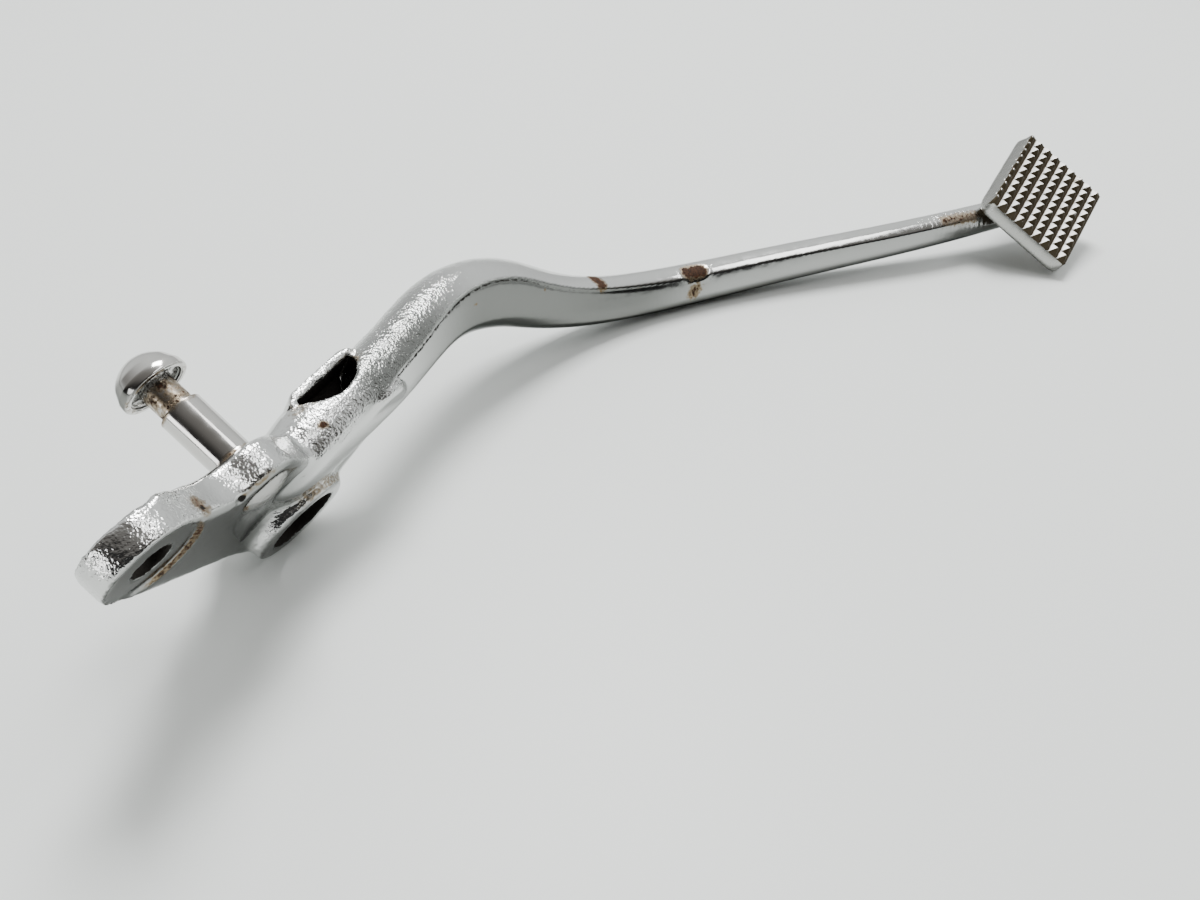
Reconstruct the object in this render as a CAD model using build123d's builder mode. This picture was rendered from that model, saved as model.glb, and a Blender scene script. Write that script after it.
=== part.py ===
# Rear brake pedal of a motorbike: a forged lever, a riveted spring stud and a welded foot pad.
# Drawn as it hangs on the bike: Y is the pivot axis (inboard positive), X points forward, Z up.
# The origin is the middle of the pivot bore. Every piece is laid on the table before export.
import os
from math import exp

from build123d import *

# Pivot boss
bore_diameter = 15.0
boss_diameter = 22.5
boss_length = 15.6
boss_chamfer = 0.6
boss_fillet = 2.2

# Rod arm: a flat web from the boss to the rod eye, with a seat for the stud and a gusset to the arm
web_thickness = 7.3
web_hub_radius = 13.0
web_edge_radius = 1.2
web_notch_radius = 9.0
rod_eye = (-30.7, 38.6)
rod_eye_radius = 9.0
rod_hole_diameter = 7.0
spot_face_diameter = 17.6
spot_face_depth = 0.8
stud_seat = (-8.0, 27.0)
stud_seat_radius = 7.5
gusset_end = (26.0, 9.8)
gusset_end_radius = 6.5
gusset_notch_radius = 14.0

# Pedal arm: points on its centre line, from the web to the foot pad
arm_reach = 229.6
arm_nose = (-6.0, 0.2, 14.5)
arm_root = (16.0, 1.8, 11.5)
arm_flank = (38.4, 4.6, 6.5)
arm_crest = (60.0, 7.5, 0.0)
arm_knee = (77.5, 3.4, -7.8)
arm_fall = (94.3, -6.9, -16.1)
arm_dip = (121.6, -22.2, -20.3)
arm_rise = (157.9, -42.9, -14.8)
arm_bar = (arm_reach - 35.1, -66.1, -4.6)
arm_tip = (arm_reach, -86.3, 3.6)

# Pedal arm: a tapering bar, thicker where it was bent and drawn in where it meets the web
# Its straight tail runs on under the foot pad and into its underside
arm_tip_diameter = 9.2
arm_tail = 14.0
arm_taper = 7.0
bend_swell = 3.4
bend_place = 0.32
bend_spread = 0.095
nose_place = 0.029
nose_spread = 0.0115

# Pedal arm: the outboard flank is ground flatter below a ridge that rises to the top of the bar
ridge_angle = 55
ridge_end = 0.363
flank_angle = 66
flank_flatness = 0.7
flank_end = 0.575
flank_least = 0.1
arm_section_count = 18

# Pedal arm: its root, drawn out of the pivot boss
root_end = 0.143
root_inset = 1.3
root_shoulder = 0.5

# Lug with a blind pocket on the inboard side of the arm
lug_place = 0.0945
lug_length = 21.0
lug_reach = 8.3
lug_top = 5.2
lug_height = 9.5
lug_corner_radius = 3.5
pocket_length = 18.0
pocket_width = 5.2
pocket_depth = 8.0
lip_thickness = 2.0

# Spring stud
stud_diameter = 8.2
stud_shank_length = 13.2
stud_neck_diameter = 6.4
stud_neck_length = 5.4
stud_head_diameter = 13.0
stud_head_height = 6.5
stud_rim = 0.8
stud_recess_diameter = 10.4
stud_recess_depth = 0.8
rivet_diameter = 10.2
rivet_height = 1.4

# Foot pad, welded on top of the end of the arm
pad_lap = 13.1
pad_side = 4.7
pad_rise = 9.2
pad_tilt = -4.5
pad_turn = 5.4
pad_thickness = 5.2
pad_draft = 20
pad_corner_radius = 4.5
inboard_border = 4.8
outboard_border = 1.6
rear_border = 2.3
front_border = 2.8

# Chequering: rows of four-sided teeth with flat valleys between the rows
tooth_pitch = 3.58
row_count = 8
teeth_per_row = 10
tooth_height = 1.6
tooth_flat = 0.3
valley_width = 0.7
cross_valley_width = 0.2
cross_groove_depth = 1.4

# Resting pose: the table's normal in the drawing frame, lying on boss rim, arm and pad corner
table_normal = Vector(0.1810, 0.5348, 0.8253)

os.makedirs("parts", exist_ok=True)

side = Plane.XZ
pivot = (0, 0)

with BuildLine() as arm_path:
    Spline(
        arm_nose, arm_root, arm_flank, arm_crest, arm_knee,
        arm_fall, arm_dip, arm_rise, arm_bar, arm_tip,
    )
centre_line = arm_path.line


def arm_diameter(t):
    """Thickness of the arm at a place from 0 at the web to 1 at the pad."""
    bend = bend_swell * exp(-(((t - bend_place) / bend_spread) ** 2))
    bar = arm_tip_diameter + arm_taper * (1 - t) + bend
    nose = 1 / (1 + exp((t - nose_place) / nose_spread))
    return bar - (bar - web_thickness) * nose


def arm_plane(t):
    """Plane across the arm: its x axis points inboard and its y axis up."""
    forward = centre_line % t
    inboard = Vector(0, 0, 1).cross(forward)
    return Plane(origin=centre_line @ t, x_dir=inboard, z_dir=forward)


def arm_section(t):
    """Round section with a flatter outboard flank, which fades out past the bend."""
    radius = arm_diameter(t) / 2
    rise = max(0, 1 - t / ridge_end)
    ridge = 90 + ridge_angle * rise
    flatness = flank_flatness * max(flank_least, 1 - (t / flank_end) ** 4)
    with BuildSketch(arm_plane(t)) as section:
        with BuildLine():
            skin = CenterArc((0, 0), radius, ridge + flank_angle, 360 - flank_angle)
            chord = (skin @ 0 + skin @ 1) / 2
            crown = Vector(radius, 0).rotate(Axis.Z, ridge + flank_angle / 2)
            ThreePointArc(skin @ 1, crown + (chord - crown) * flatness, skin @ 0)
        make_face()
    return section.sketch


def strap(first, first_radius, second, second_radius):
    """Flat outline with straight sides tangent to two round ends."""
    with BuildSketch() as outline:
        with Locations(first):
            Circle(first_radius)
        with Locations(second):
            Circle(second_radius)
        make_hull()
    return outline.sketch_local


# Foot pad blank: a block with sloping sides, x to the outboard side and y forward
# Its origin is the inboard rear corner of the chequering, at the bottom of the valleys
pad_corner = Vector(arm_tip) + Vector(-pad_lap, pad_side, pad_rise)
pad_normal = Vector(0, 0, 1).rotate(Axis.Y, pad_tilt).rotate(Axis.Z, pad_turn)
outboard = Vector(0, -1, 0).rotate(Axis.Z, pad_turn)
pad_top = Plane(origin=pad_corner, x_dir=outboard, z_dir=pad_normal)
pad_base = pad_top.offset(-pad_thickness)
pad_tips = pad_top.offset(tooth_height)
chequer_width = row_count * tooth_pitch
chequer_length = teeth_per_row * tooth_pitch
pad_width = inboard_border + chequer_width + outboard_border
pad_length = rear_border + chequer_length + front_border
corner_align = (Align.MIN, Align.MIN)
with BuildPart() as pad_blank:
    with BuildSketch(pad_base):
        with Locations((-inboard_border, -rear_border)):
            outline = Rectangle(pad_width, pad_length, align=corner_align)
        fillet(outline.vertices(), pad_corner_radius)
    extrude(amount=pad_thickness + tooth_height, taper=pad_draft)


def groove_ends(across, count, floor_width, depth):
    """End view of parallel grooves in the tips of the teeth, set out along one direction."""
    side_width = (tooth_pitch - floor_width - tooth_flat) / 2
    end_plane = Plane(pad_tips.origin, x_dir=across, z_dir=across.cross(pad_normal))
    with BuildSketch(end_plane) as ends:
        with Locations(*[(i * tooth_pitch, 0) for i in range(count + 1)]):
            Polygon(
                (side_width, 0),
                (0, -depth),
                (-floor_width, -depth),
                (-floor_width - side_width, 0),
                align=None,
            )
    return ends.sketch


# Foot pad: a shoulder on three sides and grooves both ways leave rows of four-sided teeth
groove_length = pad_width + pad_length
with BuildPart() as pad:
    add(pad_blank.part)
    with BuildSketch(pad_tips):
        Rectangle(2 * groove_length, 2 * groove_length)
        with Locations((chequer_width - groove_length, 0)):
            Rectangle(groove_length, chequer_length, align=corner_align, mode=Mode.SUBTRACT)
    extrude(amount=-tooth_height, mode=Mode.SUBTRACT)
    row_grooves = groove_ends(pad_top.x_dir, row_count, valley_width, tooth_height)
    extrude(row_grooves, amount=groove_length, both=True, mode=Mode.SUBTRACT)
    cross_grooves = groove_ends(pad_top.y_dir, teeth_per_row, cross_valley_width, cross_groove_depth)
    extrude(cross_grooves, amount=groove_length, both=True, mode=Mode.SUBTRACT)

# Web of the lever, with rounded edges
with BuildPart() as web:
    with BuildSketch(side) as web_outline:
        add(strap(rod_eye, rod_eye_radius, pivot, web_hub_radius))
        add(strap(stud_seat, stud_seat_radius, pivot, web_hub_radius))
        add(strap(gusset_end, gusset_end_radius, pivot, web_hub_radius))
        for end, radius in ((rod_eye, web_notch_radius), (gusset_end, gusset_notch_radius)):
            between = (Vector(end) + Vector(stud_seat)) / 2
            notch = web_outline.vertices().sort_by_distance(between)[0]
            fillet(notch, radius)
    extrude(amount=web_thickness / 2, both=True)
    fillet(web.faces().filter_by(Axis.Y).edges(), web_edge_radius)

# Pivot boss with a flare onto both sides of the web
boss_radius = boss_diameter / 2
web_face = web_thickness / 2
flare_top = web_face + boss_fillet
flare_radius = boss_radius + boss_fillet
with BuildPart() as boss_flare:
    with BuildSketch(Plane.YZ):
        with BuildLine():
            Polyline((-flare_top, boss_radius), (-flare_top, 0), (flare_top, 0), (flare_top, boss_radius))
            RadiusArc((flare_top, boss_radius), (web_face, flare_radius), boss_fillet)
            Line((web_face, flare_radius), (-web_face, flare_radius))
            RadiusArc((-web_face, flare_radius), (-flare_top, boss_radius), boss_fillet)
        make_face()
    revolve(axis=Axis.Y)
    extrude(web_outline.sketch, amount=boss_length, both=True, mode=Mode.INTERSECT)

# Root of the arm: an oval at the boss, drawn out into the round bar
root_axis = centre_line @ root_end
with BuildPart() as arm_root_cone:
    with BuildSketch(Plane(origin=(0, 0, 0), x_dir=(0, 1, 0), z_dir=(root_axis.X, 0, root_axis.Z))):
        Ellipse(boss_length / 2 - root_shoulder, boss_radius - root_shoulder)
    with BuildSketch(arm_plane(root_end)):
        Circle(arm_diameter(root_end) / 2 - root_inset)
    loft()

# Lug on the arm
lug_section = arm_plane(lug_place)
lug_origin = lug_section.origin + lug_section.y_dir * lug_top
lug_plane = Plane(origin=lug_origin, x_dir=lug_section.x_dir, z_dir=lug_section.y_dir)
with BuildPart() as lug:
    with BuildSketch(lug_plane) as lug_outline:
        Rectangle(2 * lug_reach, lug_length)
        fillet(lug_outline.vertices(), lug_corner_radius)
        with Locations((-lug_reach, 0)):
            Rectangle(2 * lug_reach, lug_length, mode=Mode.SUBTRACT)
    extrude(amount=-lug_height)

# Forged lever
arm_sections = [arm_section(i / (arm_section_count - 1)) for i in range(arm_section_count)]
pocket_wall = lug_reach - lip_thickness
spot_level = web_face - spot_face_depth
with BuildPart() as lever:
    with BuildSketch(side):
        Circle(boss_radius)
    extrude(amount=boss_length / 2, both=True)
    chamfer(lever.edges().filter_by(GeomType.CIRCLE), boss_chamfer)
    add(web.part)
    add(boss_flare.part)
    add(arm_root_cone.part)
    loft(arm_sections)
    extrude(arm_sections[-1], amount=arm_tail)
    add(lug.part)
    with BuildSketch(lug_plane) as lug_pocket:
        with BuildLine():
            Line((pocket_wall, -pocket_length / 2), (pocket_wall, pocket_length / 2))
            ThreePointArc(
                (pocket_wall, pocket_length / 2),
                (pocket_wall - pocket_width, 0),
                (pocket_wall, -pocket_length / 2),
            )
        make_face()
    extrude(amount=-pocket_depth, mode=Mode.SUBTRACT)
    extrude(lug_pocket.sketch, amount=lug_reach, mode=Mode.SUBTRACT)
    for face in (1, -1):
        spot_origin = (rod_eye[0], face * spot_level, rod_eye[1])
        with BuildSketch(Plane(origin=spot_origin, z_dir=(0, face, 0))):
            Circle(spot_face_diameter / 2)
        extrude(amount=boss_length, mode=Mode.SUBTRACT)
    add(pad_blank.part, mode=Mode.SUBTRACT)
    with BuildSketch(side):
        Circle(bore_diameter / 2)
        with Locations(rod_eye):
            Circle(rod_hole_diameter / 2)
        with Locations(stud_seat):
            Circle(stud_diameter / 2)
    extrude(amount=boss_length, both=True, mode=Mode.SUBTRACT)

# Spring stud: its plain end fills the seat and is peened over on the outboard side
neck_start = web_face + stud_shank_length
head_start = neck_start + stud_neck_length
head_rim = (stud_head_diameter / 2, head_start + stud_rim)
head_top = (0, head_start + stud_head_height)
rivet_rim = (rivet_diameter / 2, -web_face)
rivet_top = (0, -web_face - rivet_height)
with BuildPart() as stud:
    with BuildSketch(Plane(origin=(stud_seat[0], 0, stud_seat[1]))):
        with BuildLine():
            Line(rivet_top, head_top)
            TangentArc(head_top, head_rim, tangent=(1, 0))
            Polyline(
                head_rim,
                (stud_head_diameter / 2, head_start),
                (stud_recess_diameter / 2, head_start),
                (stud_recess_diameter / 2, head_start + stud_recess_depth),
                (stud_neck_diameter / 2, head_start + stud_recess_depth),
                (stud_neck_diameter / 2, neck_start),
                (stud_diameter / 2, neck_start),
                (stud_diameter / 2, -web_face),
                rivet_rim,
            )
            TangentArc(rivet_top, rivet_rim, tangent=(1, 0))
        make_face()
    revolve(axis=Axis((stud_seat[0], 0, stud_seat[1]), (0, 1, 0)))

# Lay the pedal on the table: Z up from the table, X from the pivot towards the pad
toward_pad = Vector(arm_tip) - table_normal * table_normal.dot(Vector(arm_tip))
lying = Plane(origin=(0, 0, 0), x_dir=toward_pad, z_dir=table_normal).location.inverse()

lever.part.label = "pedal_lever"
lever.part.move(lying)
export_step(lever.part, "parts/pedal_lever.step")

stud.part.label = "spring_stud"
stud.part.move(lying)
export_step(stud.part, "parts/spring_stud.step")

pad.part.label = "foot_pad"
pad.part.move(lying)
export_step(pad.part, "parts/foot_pad.step")
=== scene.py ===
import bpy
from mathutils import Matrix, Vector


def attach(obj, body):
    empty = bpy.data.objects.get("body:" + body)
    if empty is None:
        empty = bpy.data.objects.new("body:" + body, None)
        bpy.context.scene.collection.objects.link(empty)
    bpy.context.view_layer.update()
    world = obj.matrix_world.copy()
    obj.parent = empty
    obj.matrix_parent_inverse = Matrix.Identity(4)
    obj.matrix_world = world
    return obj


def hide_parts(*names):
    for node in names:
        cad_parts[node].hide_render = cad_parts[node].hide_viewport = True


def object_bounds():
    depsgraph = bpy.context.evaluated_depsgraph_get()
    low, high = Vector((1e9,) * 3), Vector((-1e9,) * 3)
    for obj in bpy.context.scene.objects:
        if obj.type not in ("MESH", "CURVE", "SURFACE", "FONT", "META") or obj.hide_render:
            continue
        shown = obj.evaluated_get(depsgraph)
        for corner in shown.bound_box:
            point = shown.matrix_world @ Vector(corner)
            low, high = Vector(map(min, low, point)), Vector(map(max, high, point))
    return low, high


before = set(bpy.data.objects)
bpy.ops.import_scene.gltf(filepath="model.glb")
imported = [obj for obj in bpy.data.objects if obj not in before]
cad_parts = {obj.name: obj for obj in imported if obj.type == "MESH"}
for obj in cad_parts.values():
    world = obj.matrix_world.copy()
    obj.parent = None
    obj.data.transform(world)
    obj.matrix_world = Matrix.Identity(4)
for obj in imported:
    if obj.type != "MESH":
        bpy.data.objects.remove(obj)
cad_box = [list(corner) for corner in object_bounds()]

from math import cos, pi, radians, sin, sqrt

import bmesh
import bpy
import numpy as np
from mathutils import Matrix, Vector, noise

# Table and light.
# The pedal lies loose on a pale painted table top, under a skylight behind it and a lamp at the right,
# with a window at the left. The room is dark on the viewer's side, which gives the plating its dark lines.
table_level = cad_box[0][2]
table_size = 6.0
table_colour, table_roughness, table_shine = (0.885, 0.915, 0.895, 1), 0.42, 0.3
lit_place = Vector((0.05, 0, 0))
lamps = (
    # name, centre, direction of its second side, size and power
    ("ceiling_lamp", Vector((0.61, -0.42, 1.21)), Vector((0.44, 0.90, 0.1)), (0.30, 0.95), 4.5),
    ("skylight", Vector((0.50, 0.52, 1.34)), Vector((1, 0, 0)), (0.6, 0.6), 30),
    ("side_window", Vector((-1.3, -0.25, 0.28)), Vector((0, 0, 1)), (0.7, 0.35), 3.5),
)
away_from_viewer = Vector((0.605, 0.796, 0))
room_strength = 0.85
room_tones = [
    (0.0, (0.90, 0.92, 0.91, 1)),
    (0.15, (1.22, 1.25, 1.24, 1)),
    (0.32, (1.22, 1.25, 1.24, 1)),
    (0.41, (0.95, 0.96, 0.95, 1)),
    (0.49, (0.46, 0.45, 0.44, 1)),
    (0.57, (0.30, 0.29, 0.275, 1)),
    (0.68, (0.22, 0.21, 0.20, 1)),
    (0.76, (0.10, 0.095, 0.09, 1)),
    (0.83, (0.03, 0.03, 0.03, 1)),
    (1.0, (0.08, 0.08, 0.08, 1)),
]
viewer_place = (-0.03172, -0.15079, 0.12936)
viewer_turn = (50.44, -1.378, -36.065)
viewer_lens, viewer_sensor, viewer_nearest = 27.9, 36, 0.01


def shader_node(tree, kind, inputs=None, **settings):
    """Adds a node to a tree: an input that is a socket is linked, and any other value is set."""
    made = tree.nodes.new(kind)
    for name, value in settings.items():
        setattr(made, name, value)
    for name, value in (inputs or {}).items():
        if isinstance(value, bpy.types.NodeSocket):
            tree.links.new(value, made.inputs[name])
        else:
            made.inputs[name].default_value = value
    return made


def ramp(tree, factor, stops):
    """Colour ramp through the given (place, colour) stops."""
    made = shader_node(tree, "ShaderNodeValToRGB", {"Fac": factor})
    elements = made.color_ramp.elements
    while len(elements) < len(stops):
        elements.new(0.5)
    for element, (place, colour) in zip(elements, stops):
        element.position = place
        element.color = colour
    return made.outputs["Color"]


table_mesh = bpy.data.meshes.new("table_top")
shape = bmesh.new()
bmesh.ops.create_grid(shape, x_segments=1, y_segments=1, size=table_size / 2)
bmesh.ops.translate(shape, verts=shape.verts, vec=(0, 0, table_level))
shape.to_mesh(table_mesh)
shape.free()
table_top = bpy.data.objects.new("table_top", table_mesh)
bpy.context.collection.objects.link(table_top)

table_paint = bpy.data.materials.new("table_paint")
table_paint.use_nodes = True
surface = table_paint.node_tree.nodes["Principled BSDF"]
surface.inputs["Base Color"].default_value = table_colour
surface.inputs["Roughness"].default_value = table_roughness
surface.inputs["Specular IOR Level"].default_value = table_shine
table_mesh.materials.append(table_paint)

for name, centre, run, size, power in lamps:
    light = bpy.data.lights.new(name, "AREA")
    light.shape = "RECTANGLE"
    light.size, light.size_y = size
    light.energy = power
    facing = (centre - lit_place).normalized()
    sideways = run.cross(facing).normalized()
    lamp = bpy.data.objects.new(name, light)
    lamp.location = centre
    lamp.rotation_euler = Matrix((sideways, facing.cross(sideways), facing)).transposed().to_euler()
    bpy.context.collection.objects.link(lamp)

# Room: its tone runs from low behind the table, over the ceiling, down to the viewer's side
room = bpy.data.worlds.new("room")
room.use_nodes = True
tree = room.node_tree
direction = shader_node(tree, "ShaderNodeTexCoord").outputs["Generated"]
behind, upward = (
    shader_node(tree, "ShaderNodeVectorMath", {0: direction, 1: axis}, operation="DOT_PRODUCT")
    for axis in (away_from_viewer, (0, 0, 1))
)
inputs = {0: upward.outputs["Value"], 1: behind.outputs["Value"]}
climb = shader_node(tree, "ShaderNodeMath", inputs, operation="ARCTAN2")
turn = shader_node(tree, "ShaderNodeMapRange", {"Value": climb.outputs["Value"], "From Max": pi})
backdrop = tree.nodes["Background"]
tree.links.new(ramp(tree, turn.outputs["Result"], room_tones), backdrop.inputs["Color"])
backdrop.inputs["Strength"].default_value = room_strength
bpy.context.scene.world = room

camera_lens = bpy.data.cameras.new("viewer")
camera_lens.lens = viewer_lens
camera_lens.sensor_width = viewer_sensor
camera_lens.clip_start = viewer_nearest
viewer = bpy.data.objects.new("viewer", camera_lens)
viewer.location = viewer_place
viewer.rotation_euler = [radians(angle) for angle in viewer_turn]
bpy.context.collection.objects.link(viewer)
bpy.context.scene.camera = viewer

# Lever.
# One steel forging, bent and drawn down from the pivot boss to the foot pad, then chrome plated.
# Its outboard flank is ground and polished; its inboard side keeps the grain of the forging die.
mm = 0.001
lever_voxel, smoothing_rounds, fillet_rounds = 0.52, 26, 16
lever_plate, lever_dirt_and_painted_shade = (0.62, 0.625, 0.615, 1), (0.012, 0.010, 0.008, 1)
dull_and_painted_reflection_colour, dull_and_painted_reflection_tint = (0.13, 0.135, 0.127, 1), (0.3, 0.3, 0.3, 1)
rust_stain = (0.19, 0.13, 0.06, 1)
dark_rust, light_rust = (0.020, 0.011, 0.007, 1), (0.085, 0.038, 0.019, 1)
coarse_grain, fine_grain, rust_grain, haze_grain, grain_depth = 1.05, 0.5, 0.8, 2.5, 0.36
polish_roughness, worn_roughness, plate_shine = 0.10, 0.75, 0.15
box_low, box_high = (np.array(corner) for corner in cad_box)

# Places are in millimetres as the pedal hangs on the machine: forward, inboard and up from the pivot
hang_axes = np.array((
    (0.93718, 0.29821, 0.18101),
    (-0.34827, 0.76985, 0.53483),
    (0.02014, -0.56427, 0.82534),
))
eye_forward, eye_up = -30.7, 38.6
arm_points = np.array((
    (-6.0, 0.2, 14.5), (16.0, 1.8, 11.5), (38.4, 4.6, 6.5), (60.0, 7.5, 0.0), (77.5, 3.4, -7.8),
    (94.3, -6.9, -16.1), (121.6, -22.2, -20.3), (157.9, -42.9, -14.8), (194.5, -66.1, -4.6),
    (229.6, -86.3, 3.6),
))

# Shares of the arm's length, and angles round its centre line from inboard to up
lug_share = 0.0945
ridge_shares = (0.07, 0.14, 0.24, 0.30, 0.39, 0.55, 0.71, 0.91)
ridge_angles = (138, 122, 112, 99, 92, 96, 101, 111)
ridge_run, ridge_offset, ridge_width = ((0.1, 0.14), (0.5, 0.57)), 0.55, 0.5
flank_run, flank_start, flank_turn, flank_flatness = ((0.34, 0.46), (0.93, 0.98)), 60, 84, 0.62

# Pocket in the lug, from the arm's centre line: across, up and along
pocket_mouth, pocket_depth, pocket_margin, pocket_run, pocket_end = 6.3, 5.2, 0.4, 9, 9.3
pocket_middle, pocket_half_height = 0.6, 4.2
lip_across, lip_up, lip_reach = 4.5, 5.2, 5

# Marks, each with the two ends of its middle line and its reach, and with its strength first in a list
fillet_places = (
    (1, (-20, -3, 37), (-18, 3, 36), 9),
    (1, (6, -4, 22), (26, -4, 13), 8),
    (1, (12, -6, 4), (24, -3, 2), 9),
    (1, (2, -5, 15), (-8, -5, 12), 5),
)
rust_spots = (
    (0.9, (10.3, 0.4, 20.1), (10.8, 0.2, 19.8), 1.8),
    (0.7, (206, -73, 3.6), (215, -79, 5), 4.5),
    (0.6, (63.0, 2.2, 4.5), (63.6, 2.2, 4.2), 0.9),
    (0.6, (115.4, -20.2, -14.1), (116.6, -20.8, -14.1), 0.9),
    (0.6, (86.8, -4.5, -5.4), (87, -4.5, -5.4), 0.8),
    (0.75, (-20.0, -1.7, 40.4), (-20.2, -0.7, 40.6), 3.4),
    (0.66, (-12.6, -3.5, 34.4), (-3.5, -3.6, 34.0), 1.5),
)
grime_spots = (
    (1.0, (-13.6, -3.5, 34.2), (-13.2, -3.6, 33.6), 1.3),
    (0.8, (-20.0, -1.7, 40.4), (-19.6, -2, 40.2), 1.0),
    (0.5, (-12.6, -3.4, 34.6), (-2.5, -3.4, 34.2), 1.2),
)
pits = (
    (0.5, (-13.6, -3.5, 34.2), (-13.4, -3.6, 34.0), 1.4),
    (0.3, (-20.0, -1.7, 40.4), (-20, -1.2, 40.5), 1.3),
)
burr = (0.7, (-24.5, 2.6, 45.0), (-22, 3, 43.5), 2.2)
smooth_saddle = (-20, -4, 38), (-18, 2, 37), 7
bare_patch = (132.2, -27.0, -14.2), (135.6, -29.0, -13.8), 4.3
flaked_ring = (130.5, -27, -14.2), (137.5, -30.2, -13.6), 6
patch_run_off = (130.4, -31.7, -17.0), (132.2, -31.5, -16.2), 4.0
rust_streak = (106.4, -9.8, -13.6), (106.0, -12.4, -12.7), 3.5
grinding_marks = (200, -69, 0), (214, -78, 2.5), 14


def cad_copy(node):
    """Closed copy of a CAD node's mesh, with its doubled corners merged."""
    copy = bmesh.new()
    copy.from_mesh(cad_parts[node].data)
    bmesh.ops.remove_doubles(copy, verts=copy.verts, dist=0.001 * mm)
    mesh = bpy.data.meshes.new(node)
    copy.to_mesh(mesh)
    copy.free()
    return mesh


def voxel_mesh(mesh, voxel, name):
    """Even mesh over a closed solid, ready for smoothing and for the piece's own marks."""
    rough = bpy.data.objects.new("rough", mesh)
    bpy.context.collection.objects.link(rough)
    remesh = rough.modifiers.new("skin", "REMESH")
    remesh.mode = "VOXEL"
    remesh.voxel_size = voxel * mm
    ready = rough.evaluated_get(bpy.context.evaluated_depsgraph_get())
    result = bpy.data.meshes.new_from_object(ready)
    result.name = name
    bpy.data.objects.remove(rough)
    return result


def hung_points(mesh):
    """Corner points of a mesh, in millimetres as the pedal hangs."""
    flat = np.empty(len(mesh.vertices) * 3, dtype=np.float32)
    mesh.vertices.foreach_get("co", flat)
    return flat.reshape(-1, 3).astype(float) @ hang_axes.T / mm


def edges_of(mesh):
    """Pairs of joined corners of a mesh as an array."""
    flat = np.empty(len(mesh.edges) * 2, dtype=np.int32)
    mesh.edges.foreach_get("vertices", flat)
    return flat.reshape(-1, 2)


def give_points(mesh, points):
    """Lays hung points back on the table in a mesh, kept inside the CAD box, with smooth faces."""
    laid = np.clip(points @ hang_axes * mm, box_low, box_high)
    mesh.vertices.foreach_set("co", laid.astype(np.float32).ravel())
    mesh.polygons.foreach_set("use_smooth", np.ones(len(mesh.polygons), dtype=bool))
    mesh.update()


def hung_normals(mesh):
    """Corner normals of a mesh, turned as the pedal hangs."""
    flat = np.empty(len(mesh.vertices) * 3, dtype=np.float32)
    mesh.vertex_normals.foreach_get("vector", flat)
    return flat.reshape(-1, 3).astype(float) @ hang_axes.T


def give_column(mesh, name, values, domain="POINT"):
    """Stores one value per point, or per corner of each face, for the material to read."""
    column = mesh.attributes.new(name, "FLOAT", domain)
    column.data.foreach_set("value", np.asarray(values, dtype=np.float32))


def mean_of_neighbours(points, pairs):
    """Mean of each corner's neighbours."""
    count = np.bincount(pairs.ravel(), minlength=len(points))
    total = [
        np.bincount(pairs[:, 0], points[pairs[:, 1], k], len(points))
        + np.bincount(pairs[:, 1], points[pairs[:, 0], k], len(points))
        for k in range(3)
    ]
    return np.stack(total, axis=1) / count[:, None]


def ease(points, pairs, rounds, amount):
    """Takes out the voxel steps without shrinking: each round pulls in and pushes back a little more."""
    for _ in range(rounds):
        for pull in (0.55, -0.57):
            points = points + pull * amount[:, None] * (mean_of_neighbours(points, pairs) - points)
    return points


def blend(points, pairs, rounds, amount):
    """Rounds edges over and fills hollows, as a forging die does."""
    for _ in range(rounds):
        points = points + 0.5 * amount[:, None] * (mean_of_neighbours(points, pairs) - points)
    return points


def fade(values, low, high):
    """Rises smoothly from 0 at low to 1 at high."""
    share = np.clip((values - low) / (high - low), 0, 1)
    return share * share * (3 - 2 * share)


def span(values, rise, fall):
    """1 between two stretches: rises over the first one and falls over the second."""
    return fade(values, *rise) * (1 - fade(values, *fall))


def near(points, first, last, reach):
    """1 on the line between two places, falling to 0 at the given reach from it."""
    first, last = np.array(first), np.array(last)
    run = last - first
    share = np.clip((points - first) @ run / max(run @ run, 0.001), 0, 1)
    return 1 - fade(np.linalg.norm(points - first - share[:, None] * run, axis=1), 0, reach)


def marks(points, *places):
    """The strongest of several marks at each point."""
    return np.maximum.reduce([strength * near(points, *place) for strength, *place in places])


def ripple(points, size, seed):
    """Smooth noise from -1 to 1 with waves of the given size."""
    return np.array([noise.noise(Vector(point) / size + Vector((seed, 3.1, 7.7))) for point in points])


def smooth_line(points, steps):
    """Smooth curve through the given points."""
    ends = np.vstack([2 * points[0] - points[1], points, 2 * points[-1] - points[-2]])
    u = np.linspace(0, 1, steps, endpoint=False)[:, None]
    spans = [
        0.5 * (2 * b + (c - a) * u + (2 * a - 5 * b + 4 * c - d) * u**2 + (3 * b - a - 3 * c + d) * u**3)
        for a, b, c, d in zip(ends, ends[1:], ends[2:], ends[3:])
    ]
    return np.vstack(spans)


lever_mesh = voxel_mesh(cad_copy("pedal_lever"), lever_voxel, "lever_forging")
lever_edges = edges_of(lever_mesh)
hung = hung_points(lever_mesh)

# Distances from the pivot, the rod eye and the arm's centre line
pivot_gap = np.hypot(hung[:, 0], hung[:, 2])
eye_gap = np.hypot(hung[:, 0] - eye_forward, hung[:, 2] - eye_up)
arm_line = smooth_line(arm_points, 24)
arm_steps = np.gradient(arm_line, axis=0)
arm_length = np.cumsum(np.linalg.norm(arm_steps, axis=1))
arm_forward = arm_steps / np.linalg.norm(arm_steps, axis=1)[:, None]
arm_inboard = np.cross((0, 0, 1), arm_forward)
arm_inboard /= np.linalg.norm(arm_inboard, axis=1)[:, None]
arm_upward = np.cross(arm_forward, arm_inboard)
closest = np.argmin((arm_line**2).sum(1) - 2 * hung @ arm_line.T, axis=1)
along = arm_length[closest]
share = along / arm_length[-1]

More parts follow.
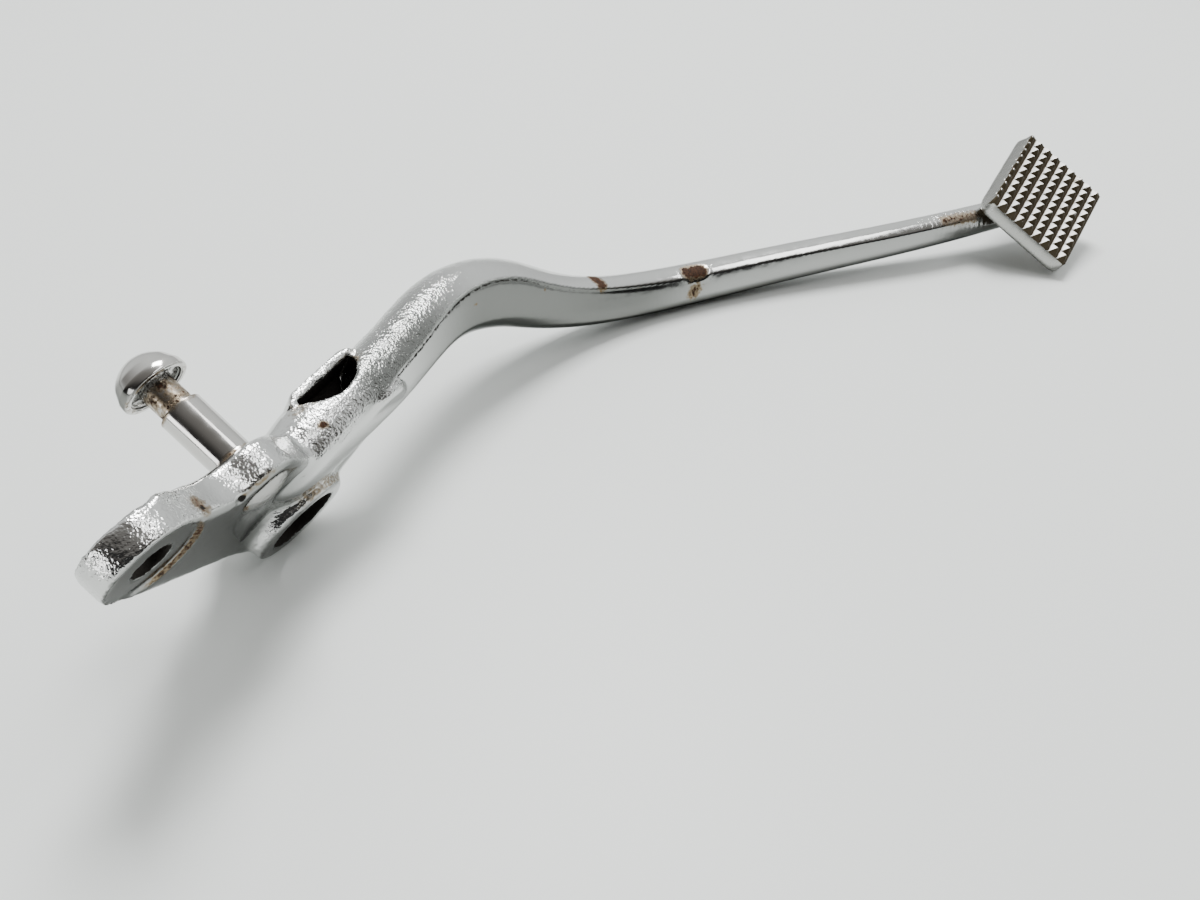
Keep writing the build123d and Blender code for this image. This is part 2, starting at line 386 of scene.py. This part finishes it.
# Pocket: its hollow and its lip in the lug
lug_step = np.argmin(abs(arm_length / arm_length[-1] - lug_share))
lug_axes = np.stack([arm_inboard[lug_step], arm_upward[lug_step], arm_forward[lug_step]])
on_lug = (hung - arm_line[lug_step]) @ lug_axes.T
lug_across, lug_up, lug_along = on_lug.T
pocket_floor = pocket_mouth - pocket_depth * np.clip(1 - (lug_along / pocket_run) ** 2, 0, 1)
in_pocket = (lug_across > pocket_floor - pocket_margin) & (lug_across < pocket_mouth + pocket_margin)
in_pocket &= (abs(lug_along) < pocket_end) & (abs(lug_up - pocket_middle) < pocket_half_height)
pocket_lip = near(on_lug, (lip_across, lip_up, -pocket_run), (lip_across, lip_up, pocket_run), lip_reach)

# Smoothing: light on bored and cut edges and full elsewhere, with forged fillets where arm, web and boss meet
spot_face = (1 - fade(eye_gap, 8.6, 9.0)) * fade(abs(hung[:, 1]), 2.1, 2.5)
machined = np.maximum.reduce([spot_face, 1 - fade(eye_gap, 4.2, 4.6), 1 - fade(pivot_gap, 8.8, 9.5)])
hung = ease(hung, lever_edges, smoothing_rounds, 1 - 0.6 * np.maximum(machined, pocket_lip))
web_rim = (1 - fade(hung[:, 0], -3, 2)) * fade(pivot_gap, 13.5, 16)
rounded_over = np.maximum(0.6 * web_rim, marks(hung, *fillet_places))
hung = blend(hung, lever_edges, fillet_rounds, rounded_over * (1 - machined) * (1 - pocket_lip))

# Ridge: a worn line along the arm between the forging skin and the ground flank, sunk a little and given a
# painted dark line of shade
offset = hung - arm_line[closest]
reach = np.linalg.norm(offset, axis=1)
inward, upward = ((offset * axes[closest]).sum(1) for axes in (arm_inboard, arm_upward))
ridge_angle = np.interp(share, ridge_shares, ridge_angles)
past = (np.degrees(np.arctan2(upward, inward)) - ridge_angle + 180) % 360 - 180
from_ridge = np.radians(past) * reach - ridge_offset
ridge_line = span(share, *ridge_run) * np.exp(-((from_ridge / ridge_width) ** 2))

# Flank of the straight bar: ground flatter below the ridge, all the way to the pad
from_middle = np.clip(past - flank_turn / 2, -flank_turn / 2, flank_turn / 2)
sunk = reach * (1 - cos(radians(flank_turn / 2)) / np.cos(np.radians(from_middle)))
sunk *= flank_flatness * span(share, *flank_run) * (hung[:, 0] > flank_start)
hung = hung - offset * (sunk / reach)[:, None]
give_points(lever_mesh, hung)
normals = hung_normals(lever_mesh)

# Polish: on the ground flank. Painted dark reflection: a darker plate colour and a greyer glint stand in for
# the dark reflections there, under the bar, beside the ridge and on the web's outboard face
inward, upward = ((normals * axes[closest]).sum(1) for axes in (arm_inboard, arm_upward))
past_ridge = (np.degrees(np.arctan2(upward, inward)) - ridge_angle) % 360
polished = span(past_ridge, (2, 12), (130, 160))
dark_flank = polished * (0.88 - 0.35 * fade(share, 0.5, 0.62))
dark_flank *= fade(share, 0.1, 0.28) * fade(hung[:, 0], 14, 40)
underside = fade(past, 45, 82) * fade(share, 0.42, 0.52)
by_ridge = span(past, (-105, -35), (-2, 3)) * span(share, (0.08, 0.12), (0.18, 0.28))
outboard_web = fade(-normals[:, 1], 0.35, 0.7) * (1 - fade(hung[:, 0], -4, 6))
dull_and_painted_reflection = np.maximum.reduce([dark_flank, 0.97 * underside, 0.85 * by_ridge, 0.66 * outboard_web])

# Forging skin: on the rim of the web and the boss, and on the arm inboard of its ridge
arm_skin = (1 - polished) * (1 - fade(share, 0.18, 0.42))
web_skin = 0.75 - 0.75 * fade(abs(normals[:, 1]), 0.55, 0.9)
skin = web_skin + (arm_skin - web_skin) * fade(hung[:, 0], 6, 12)
skin = np.maximum(skin * (1 - 0.8 * near(hung, *smooth_saddle)), pocket_lip) * (1 - machined)

# Rust, and grime with painted shade, each at its own place on the lever
ragged = ripple(hung, 1.7, 6)
patch = near(hung, *bare_patch) + 0.16 * ragged
flaked = near(hung, *flaked_ring)
boss_wall = span(pivot_gap, (10.4, 11), (11.8, 12.6)) * fade(-hung[:, 1], 5.2, 6.2)
spot_wall = span(eye_gap, (8.1, 8.5), (9.2, 9.6)) * fade(-hung[:, 1], 2.4, 2.9)
below_eye = fade(hung[:, 0] - eye_forward - (hung[:, 2] - eye_up), 2, 10)
rust = np.maximum.reduce([
    1.25 * patch,
    0.78 * near(hung, *patch_run_off) + 0.1 * ragged,
    1.15 * near(hung, *rust_streak) + 0.12 * ragged,
    marks(hung, *rust_spots),
    0.5 * boss_wall * fade(hung[:, 0], -7, 2),
    0.7 * spot_wall * below_eye,
    0.45 * pocket_lip,
])
grime_and_painted_shade = np.maximum.reduce([
    # Near black inside the pocket and the bores: dark dirt and rust with painted shade for the hollows
    in_pocket.astype(float),
    0.9 - 0.9 * fade(pivot_gap, 7.6, 7.9),
    0.95 - 0.95 * fade(eye_gap, 3.6, 3.9),
    marks(hung, *grime_spots),
    0.5 * flaked * (1 - fade(patch, 0.1, 0.4)),
    # Dark line along the ridge: painted shade
    ridge_line * (0.62 - 0.3 * fade(share, 0.3, 0.4)),
])
ground = near(hung, *grinding_marks) * fade(hung[:, 0], 196, 203)

# Forged unevenness, flaked plating, pits and a burr
sunken = marks(hung, *pits) + 0.10 * ridge_line
sunken += 0.09 * fade(patch, 0.3, 0.5) * (1 + ripple(hung, 0.9, 5))
sunken -= 0.16 * flaked * span(patch, (0.05, 0.2), (0.25, 0.4))
swell = skin * (0.09 * ripple(hung, 3.4, 1) + 0.05 * ripple(hung, 1.5, 2)) + 0.02 * ripple(hung, 11, 3)
swell += 0.22 * pocket_lip * ripple(hung, 1.3, 4)
raised = swell * (1 - machined) - sunken + marks(hung, burr)
hung = hung + normals * raised[:, None]
give_points(lever_mesh, hung)
columns = {"skin": skin, "rust": rust, "grime_and_painted_shade": grime_and_painted_shade, "dull_and_painted_reflection": dull_and_painted_reflection, "ground": ground, "along": along}
for name, values in columns.items():
    give_column(lever_mesh, name, values)


def plated_steel(name, plate, dirt_and_painted_shade):
    """Chrome over steel that reads its forging skin, rust, grime with painted shade, painted dark reflections
    and grinding marks from the mesh.
    """
    made = bpy.data.materials.new(name)
    made.use_nodes = True
    tree = made.node_tree
    place = shader_node(tree, "ShaderNodeTexCoord").outputs["Object"]

    def column(key):
        return shader_node(tree, "ShaderNodeAttribute", attribute_name=key).outputs["Fac"]

    def reckoned(operation, first, second):
        made = shader_node(tree, "ShaderNodeMath", {0: first, 1: second}, operation=operation)
        return made.outputs["Value"]

    def times(first, second):
        return reckoned("MULTIPLY", first, second)

    def plus(first, second):
        return reckoned("ADD", first, second)

    def grain(size, detail):
        inputs = {"Vector": place, "Scale": 1 / (size * mm), "Detail": detail, "Roughness": 0.6}
        return shader_node(tree, "ShaderNodeTexNoise", inputs).outputs["Fac"]

    def between(value, low, high):
        inputs = {"Value": value, "From Min": low, "From Max": high}
        made = shader_node(tree, "ShaderNodeMapRange", inputs, interpolation_type="SMOOTHSTEP")
        return made.outputs["Result"]

    def mixed(factor, first, second):
        inputs = {"Fac": factor, "Color1": first, "Color2": second}
        return shader_node(tree, "ShaderNodeMixRGB", inputs).outputs["Color"]

    # Where the plating is stained, rusted through, or covered by dirt and painted shade
    spread = reckoned("SUBTRACT", grain(rust_grain, 5), 0.5)
    rusted = plus(column("rust"), spread)
    stain = times(between(rusted, 0.25, 0.6), 0.8)
    scale = between(rusted, 0.58, 0.78)
    grime_and_painted_shade = between(plus(column("grime_and_painted_shade"), spread), 0.35, 0.65)
    worn = reckoned("MAXIMUM", scale, grime_and_painted_shade)

    # Colour: a darker plate as painted dark reflection, then stain, rust, and dirt with painted shade
    colour = mixed(column("dull_and_painted_reflection"), plate, dull_and_painted_reflection_colour)
    colour = mixed(stain, colour, rust_stain)
    colour = mixed(scale, colour, ramp(tree, grain(fine_grain, 4), [(0.38, dark_rust), (0.66, light_rust)]))
    colour = mixed(grime_and_painted_shade, colour, dirt_and_painted_shade)
    surface = tree.nodes["Principled BSDF"]
    surface.inputs["Specular IOR Level"].default_value = plate_shine
    tree.links.new(colour, surface.inputs["Base Color"])
    # Greyer glint where the dark reflection is painted
    tree.links.new(mixed(column("dull_and_painted_reflection"), (1, 1, 1, 1), dull_and_painted_reflection_tint), surface.inputs["Specular Tint"])
    tree.links.new(reckoned("SUBTRACT", 1, worn), surface.inputs["Metallic"])

    # Finish
    haze = times(between(grain(haze_grain, 4), 0.35, 0.75), 0.08)
    roughness = plus(haze, plus(plus(column("satin"), polish_roughness), times(stain, 0.25)))
    roughness = reckoned("MAXIMUM", roughness, times(worn, worn_roughness))
    tree.links.new(roughness, surface.inputs["Roughness"])

    # Grain of the forging, of rust and dirt, and of the grinding wheel
    coarse, fine = grain(coarse_grain, 1), grain(fine_grain, 1)
    inputs = {"W": column("along"), "Scale": 2.2, "Detail": 3}
    lines = shader_node(tree, "ShaderNodeTexNoise", inputs, noise_dimensions="1D").outputs["Fac"]
    height = times(column("skin"), plus(times(coarse, 0.55), times(fine, 0.45)))
    height = plus(height, times(worn, times(fine, 0.3)))
    height = plus(height, times(column("ground"), times(lines, 0.12)))
    inputs = {"Height": height, "Strength": 1.0, "Distance": grain_depth * mm}
    bump = shader_node(tree, "ShaderNodeBump", inputs)
    tree.links.new(bump.outputs["Normal"], surface.inputs["Normal"])
    return made


lever_mesh.materials.clear()
lever_mesh.materials.append(plated_steel("lever_chrome", lever_plate, lever_dirt_and_painted_shade))
lever = bpy.data.objects.new("lever_forging", lever_mesh)
bpy.context.collection.objects.link(lever)
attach(lever, "root")
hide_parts("pedal_lever")

# Spring stud.
# Turned steel, riveted through the web and plated with it: a shank, a neck for the spring's hook and a head.
# The neck, the step under it and the foot of the shank have rusted; the riveted end is nearly flush.
stud_plate, stud_dirt = (0.58, 0.57, 0.55, 1), (0.020, 0.016, 0.012, 1)
stud_turns, stud_step = 96, 0.4
stud_seat = np.array((-8.0, 0.0, 27.0))
web_face = 3.65
rivet_radius, rivet_rise = 5.1, 1.4
shank_radius, shank_end = 4.1, web_face + 13.2
foot_radius, foot_end = 4.45, web_face + 0.9
neck_radius, neck_start = 3.2, web_face + 13.3
head_radius, head_level, head_rim, head_rise = 6.5, web_face + 18.6, 0.8, 5.7
recess_radius, recess_mouth, recess_depth = 5.2, 5.3, 0.8
head_shade_direction = hang_axes @ np.array((-0.75, -0.5, -0.43))
rivet_rust = (-12.9, -3.8, 27.3), (-12.5, -3.9, 28.5), 1.2


def dome(rim, rise, level, steps):
    """Points of a round cap from its top out to its rim, as (radius, height) pairs."""
    ball = (rim**2 + rise**2) / (2 * abs(rise))
    side = 1 if rise > 0 else -1
    radii = [rim * i / steps for i in range(steps)]
    return [(radius, level + rise - side * (ball - sqrt(ball**2 - radius**2))) for radius in radii]


def rounded(corners, steps):
    """Profile through (radius, height, rounding) corners, each turned in short steps."""
    places = [Vector(corner[:2]) for corner in corners]
    profile = [places[0]]
    for before, (radius, height, rounding), after in zip(places, corners[1:], places[2:]):
        here = Vector((radius, height))
        back, on = ((end - here).normalized() * rounding for end in (before, after))
        profile += [here + back * (1 - i / steps) ** 2 + on * (i / steps) ** 2 for i in range(steps + 1)]
    return profile + [places[-1]]


def even_steps(profile, step):
    """The same profile with points no further apart than about a step."""
    result = []
    for first, last in zip(profile, profile[1:]):
        count = max(1, round((Vector(last) - Vector(first)).length / step))
        result += [Vector(first).lerp(Vector(last), i / count) for i in range(count)]
    return result + [Vector(profile[-1])]


stud_profile = dome(rivet_radius, -rivet_rise, -web_face, 12)
stud_profile += rounded([
    (rivet_radius, -web_face, 0),
    (shank_radius, -web_face, 0.05),
    (shank_radius, web_face, 0.05),
    (foot_radius, web_face, 0.05),
    (shank_radius, foot_end, 0.3),
    (shank_radius, shank_end, 0.3),
    (neck_radius, neck_start, 0.25),
    (neck_radius, head_level + recess_depth, 0.5),
    (recess_radius, head_level + recess_depth, 0.3),
    (recess_mouth, head_level, 0.25),
    (head_radius, head_level, 0.35),
    (head_radius, head_level + head_rim, 0.3),
    (head_radius - 0.1, head_level + 2 * head_rim, 0),
], 5)
stud_profile += list(reversed(dome(head_radius, head_rise, head_level + head_rim, 24)))[3:]
stud_mesh = bpy.data.meshes.new("spring_stud")
shape = bmesh.new()
ring = []
for radius, height in even_steps(stud_profile, stud_step):
    place = (stud_seat + (0, height, radius)) @ hang_axes * mm
    ring.append(shape.verts.new(place))
ring_edges = [shape.edges.new(pair) for pair in zip(ring, ring[1:])]
bmesh.ops.spin(
    shape, geom=ring + ring_edges, cent=Vector(stud_seat @ hang_axes * mm), axis=Vector(hang_axes[1]),
    angle=2 * pi, steps=stud_turns, use_merge=True,
)
bmesh.ops.remove_doubles(shape, verts=shape.verts, dist=0.002 * mm)
bmesh.ops.recalc_face_normals(shape, faces=shape.faces)
shape.to_mesh(stud_mesh)
shape.free()

hung = hung_points(stud_mesh)
give_points(stud_mesh, hung)
normals = hung_normals(stud_mesh)
height = hung[:, 1]
reach = np.hypot(hung[:, 0] - stud_seat[0], hung[:, 2] - stud_seat[2])
hung = hung + normals * 0.03 * ripple(hung, 4, 8)[:, None]
give_points(stud_mesh, hung)

# Rust and dirt on the neck, its step, the foot and the riveted end, and painted shade, a darker plate colour,
# on the side of the head turned down and away
uneven = ripple(hung, 1.8, 9)
hammered = fade(-height, 3.2, 3.6)
rivet_edge = fade(reach, 4.3, 5) * fade(-height, 3.3, 3.6) * fade(hung[:, 2], 26, 30)
under_head = span(height, (20.6, 22), (24, 24.5)) * (1 - fade(reach, 4.6, 5.4))
# Painted shade: the head's side turned down and away gets the darker plate colour
painted_head_shade = fade(normals @ head_shade_direction, 0.15, 0.7) * fade(height, 22.2, 22.6)
columns = {
    "rust": np.maximum.reduce([
        0.58 * span(height, (16.2, 17), (21.5, 23)) + 0.25 * uneven,
        0.5 - 0.5 * fade(abs(height - 16.7), 0.2, 1.2) + 0.2 * uneven,
        0.6 * span(height, (3, 3.5), (3.9, 5.6)) + 0.2 * uneven,
        0.7 * near(hung, *rivet_rust),
    ]),
    "grime_and_painted_shade": 0.9 * np.maximum((0.52 + 0.3 * uneven) * under_head, 0.55 * rivet_edge),
    "skin": 0.7 * hammered,
    "dull_and_painted_reflection": np.maximum(0.35 * hammered, 0.75 * painted_head_shade),
}
for name, values in columns.items():
    give_column(stud_mesh, name, values)
stud_mesh.materials.append(plated_steel("stud_chrome", stud_plate, stud_dirt))
stud = bpy.data.objects.new("turned_stud", stud_mesh)
bpy.context.collection.objects.link(stud)
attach(stud, "root")
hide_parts("spring_stud")

# Foot pad.
# A steel plate with sloping sides, welded on the end of the arm and plated with it.
# Eight rows of ten teeth are cut in its top for grip; old brown dirt fills the grooves between them.
pad_plate, pad_dirt_and_painted_shade = (0.68, 0.675, 0.65, 1), (0.065, 0.051, 0.031, 1)
pad_voxel, pad_rounds, pad_edge_rounds = 0.3, 6, 200
row_count, teeth_per_row = 8, 10
tooth_pitch, tooth_height, tooth_flat, tooth_wear = 3.58, 1.6, 0.3, 0.07
tooth_satin, plate_satin, plate_dull = 0.32, 0.14, 0.5
tinted_share = 0.3
first_tip = np.array((1.44, 1.69))
foot_level, foot_reach = -0.2, np.array((1.6, 2.1))

# The pad's own directions from a corner of its chequering: across to outboard, onward along the rows and up
pad_corner = np.array((216.5, -81.6, 12.8))
pad_tilt, pad_turn = radians(-4.5), radians(5.4)
pad_normal = np.array((sin(pad_tilt) * cos(pad_turn), sin(pad_tilt) * sin(pad_turn), cos(pad_tilt)))
pad_outboard = np.array((sin(pad_turn), -cos(pad_turn), 0))
pad_axes = np.array((pad_outboard, np.cross(pad_normal, pad_outboard), pad_normal))
groove_start, chequer_width, chequer_length = -0.75, 28.6, 35.8

pad_mesh = voxel_mesh(cad_copy("foot_pad"), pad_voxel, "foot_pad")
pad_edges = edges_of(pad_mesh)
hung = ease(hung_points(pad_mesh), pad_edges, pad_rounds, np.ones(len(pad_mesh.vertices)))
give_points(pad_mesh, hung)
across, onward, height = ((hung - pad_corner) @ pad_axes.T).T

# Plate: its top is taken down to the floor of the grooves, and its outer edges are rounded over
cut_down = hung_normals(pad_mesh) @ pad_normal > 0.25
cut_down &= (across > groove_start) & (across < chequer_width) & (onward > 0) & (onward < chequer_length)
hung = hung - np.outer(cut_down * height, pad_normal)
chequered = span(across, (-3.2, -2.4), (chequer_width - 0.4, chequer_width + 0.4))
chequered *= span(onward, (-0.3, 0.6), (chequer_length - 0.4, chequer_length + 0.4))
hung = blend(hung, pad_edges, pad_edge_rounds, 1 - fade(chequered, 0, 0.6))
give_points(pad_mesh, hung)

# Teeth: four-sided points with worn edges
shape = bmesh.new()
shape.from_mesh(pad_mesh)
worn_edges = []
for row in range(row_count):
    for step in range(teeth_per_row):
        tip = first_tip + tooth_pitch * np.array((row, step))
        corners = bmesh.ops.create_cube(shape, size=2)["verts"]
        for corner in corners:
            over = corner.co.z > 0
            spot = tip + np.array(corner.co.xy) * (tooth_flat / 2 if over else foot_reach)
            place = pad_corner + np.array((*spot, tooth_height if over else foot_level)) @ pad_axes
            corner.co = place @ hang_axes * mm
            corner.select = over
        sides = {edge for corner in corners for edge in corner.link_edges}
        worn_edges += [edge for edge in sides if any(corner.select for corner in edge.verts)]
bmesh.ops.bevel(
    shape, geom=worn_edges, offset=tooth_wear * mm, segments=2, profile=0.5, affect="EDGES", material=-1,
)
bmesh.ops.recalc_face_normals(shape, faces=shape.faces)
shape.to_mesh(pad_mesh)
shape.free()

# Faces of the teeth, which are flat, and which way they look
face_count = len(pad_mesh.polygons)
smooth_face = np.empty(face_count, dtype=bool)
pad_mesh.polygons.foreach_get("use_smooth", smooth_face)
face_corners = np.empty(face_count, dtype=np.int32)
pad_mesh.polygons.foreach_get("loop_total", face_corners)
face_normals = np.empty(face_count * 3, dtype=np.float32)
pad_mesh.polygons.foreach_get("normal", face_normals)
face_normals = face_normals.reshape(-1, 3).astype(float) @ hang_axes.T
corner_points = np.empty(len(pad_mesh.loops), dtype=np.int32)
pad_mesh.loops.foreach_get("vertex_index", corner_points)
on_tooth = np.repeat(~smooth_face, face_corners)
inward = np.repeat(fade(-face_normals @ pad_outboard, 0.3, 0.55), face_corners)
upward = np.repeat(fade(face_normals @ pad_normal, 0.85, 0.95), face_corners)

# Dirt over the floor of the grooves, and dirt with painted shade on every side of the teeth but the inboard
# one
hung = hung_points(pad_mesh)
across, onward, height = ((hung - pad_corner) @ pad_axes.T).T
uneven = ripple(hung, 2.2, 12)
bed = span(across, (-3, -2.2), (chequer_width - 0.4, chequer_width)) * (1 - fade(height, 1.2, 1.45))
bed *= span(onward, (-0.2, 0.3), (chequer_length - 0.2, chequer_length + 0.2))
edge = (1 - fade(np.hypot(onward, height), 0, 1.1)) * fade(across, -4, -3)
tooth_number = np.floor((across + 0.35) / tooth_pitch) * 17 + np.floor((onward + 0.1) / tooth_pitch)
tinted = np.sin(tooth_number * 12.9898) * 43758.5453 % 1 > 1 - tinted_share
height, uneven, bed, edge, tinted = (values[corner_points] for values in (height, uneven, bed, edge, tinted))
side_dirt_and_shade = (1 - inward) * (1 - 0.6 * upward) * (1.0 - 0.3 * fade(height, 1.0, 1.6)) + 0.2 * uneven
in_foot = inward * 0.3 * (1 - fade(height, 0.05, 0.2))
columns = {
    "rust": np.where(on_tooth, 0.36 * tinted, (0.35 + 0.2 * uneven) * edge),
    "grime_and_painted_shade": np.where(on_tooth, np.maximum(side_dirt_and_shade, in_foot), bed * (0.95 + 0.3 * uneven)),
    "satin": np.where(on_tooth, tooth_satin, plate_satin),
    "dull_and_painted_reflection": np.where(on_tooth, 0.0, plate_dull),
}
for name, values in columns.items():
    give_column(pad_mesh, name, values, "CORNER")
pad_mesh.materials.clear()
pad_mesh.materials.append(plated_steel("pad_chrome", pad_plate, pad_dirt_and_painted_shade))
pad = bpy.data.objects.new("chequered_plate", pad_mesh)
bpy.context.collection.objects.link(pad)
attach(pad, "root")
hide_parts("foot_pad")
